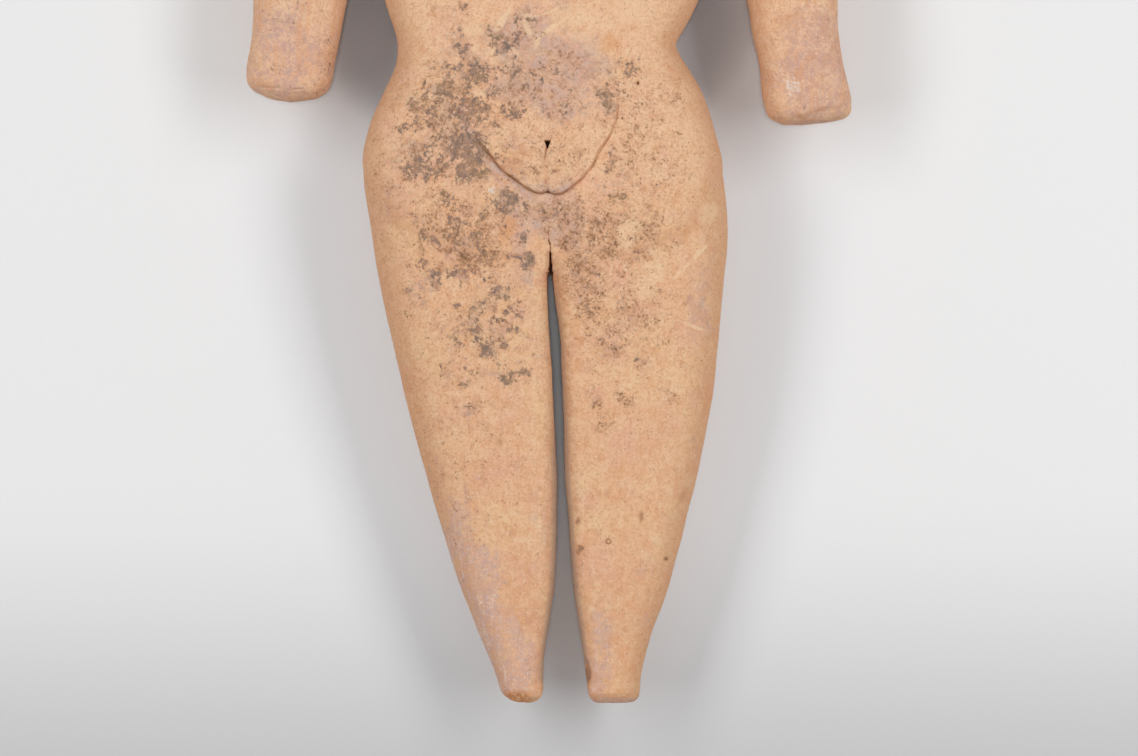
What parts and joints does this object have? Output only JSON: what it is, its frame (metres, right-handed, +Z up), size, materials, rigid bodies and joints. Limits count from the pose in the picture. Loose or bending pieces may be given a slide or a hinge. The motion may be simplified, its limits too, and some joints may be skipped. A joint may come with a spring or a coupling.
{
  "type": "fertility figure",
  "caption": "Fired-clay female fertility figure lying on its back: broad flattened body, free hanging arms, tapering legs with blunt ends, plain head.",
  "frame": {"origin": "middle of the figure's outline, on the surface that its back lies on", "axes": "+X towards the figure's own left, +Y from the feet to the head, +Z up out of its front"},
  "size_m": [0.2294, 0.4299, 0.0589],
  "materials": {
    "fired_clay": "dry buff terracotta with smoothing marks and dark manganese spots"
  },
  "bodies": {
    "root": {"figure": "fired_clay"}
  },
  "joints": []
}
